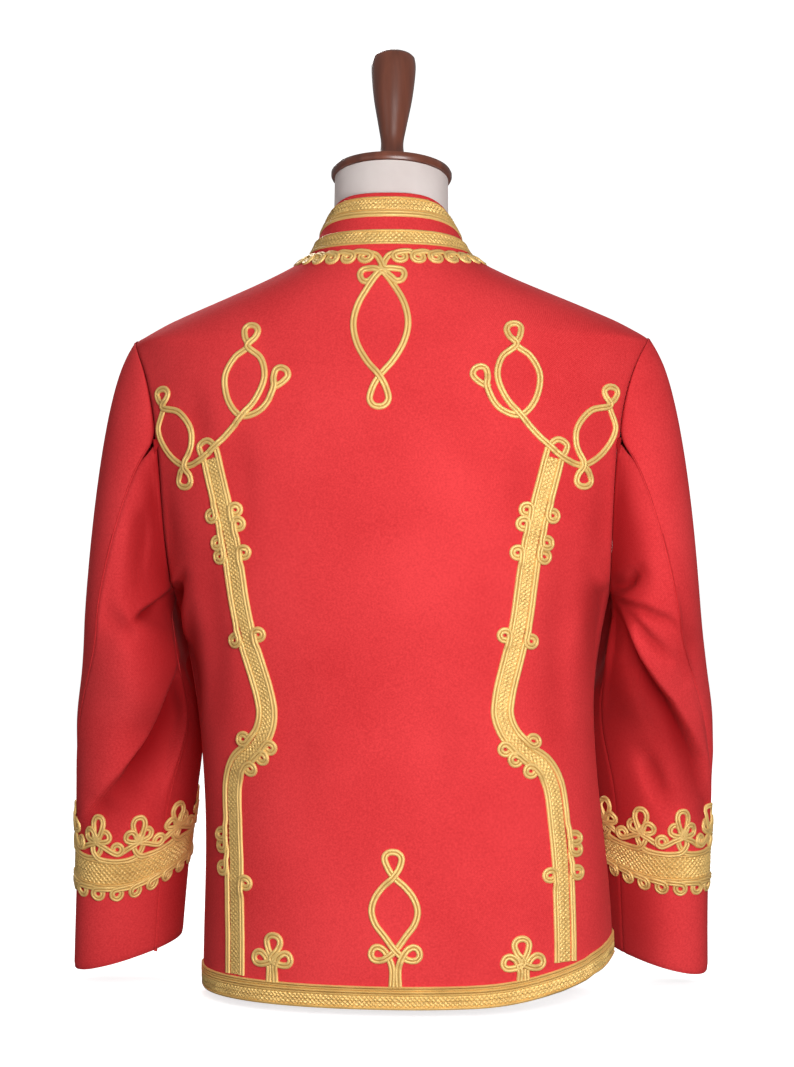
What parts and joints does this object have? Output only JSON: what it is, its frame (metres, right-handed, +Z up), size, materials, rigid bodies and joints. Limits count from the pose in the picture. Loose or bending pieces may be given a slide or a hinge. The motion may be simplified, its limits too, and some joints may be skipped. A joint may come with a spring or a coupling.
{
  "type": "military jacket on dress form",
  "caption": "Waist-length red military jacket with gold hussar braid on its back, collar, hem and cuffs, shown on a limbless dress form with a turned wooden finial.",
  "frame": {"origin": "centre of the bounding box, on the floor that the dress form stands on", "axes": "+Z up; the jacket's front faces -Y and its back +Y; +X is the wearer's left"},
  "size_m": [0.6012, 0.2611, 0.8624],
  "materials": {
    "red_cloth": "fine twill wool",
    "gold_braid": "metallic thread braid",
    "form_linen": "plain cotton cover",
    "dark_wood": "polished dark stain",
    "brass": "polished"
  },
  "bodies": {
    "root": {"back": "red_cloth", "button_1": "brass", "button_2": "brass", "button_3": "brass", "button_4": "brass", "button_5": "brass", "button_6": "brass", "button_7": "brass", "centre_motif_lower": "gold_braid", "centre_motif_upper": "gold_braid", "collar": "red_cloth", "collar_braid_lower": "gold_braid", "collar_braid_upper": "gold_braid", "cuff_braid_left": "gold_braid", "cuff_braid_right": "gold_braid", "cuff_lower_cord_left": "gold_braid", "cuff_lower_cord_right": "gold_braid", "cuff_upper_cord_left": "gold_braid", "cuff_upper_cord_right": "gold_braid", "form_cap": "dark_wood", "form_finial": "dark_wood", "form_torso": "form_linen", "front_left": "red_cloth", "front_right": "red_cloth", "hem_braid": "gold_braid", "neck_chain_left": "gold_braid", "neck_chain_right": "gold_braid", "scroll_left": "gold_braid", "scroll_right": "gold_braid", "side_braid_left": "gold_braid", "side_braid_right": "gold_braid", "side_cord_left": "gold_braid", "side_cord_right": "gold_braid", "top_sleeve_left": "red_cloth", "top_sleeve_right": "red_cloth", "trefoil_left": "gold_braid", "trefoil_right": "gold_braid", "under_sleeve_left": "red_cloth", "under_sleeve_right": "red_cloth"}
  },
  "joints": []
}
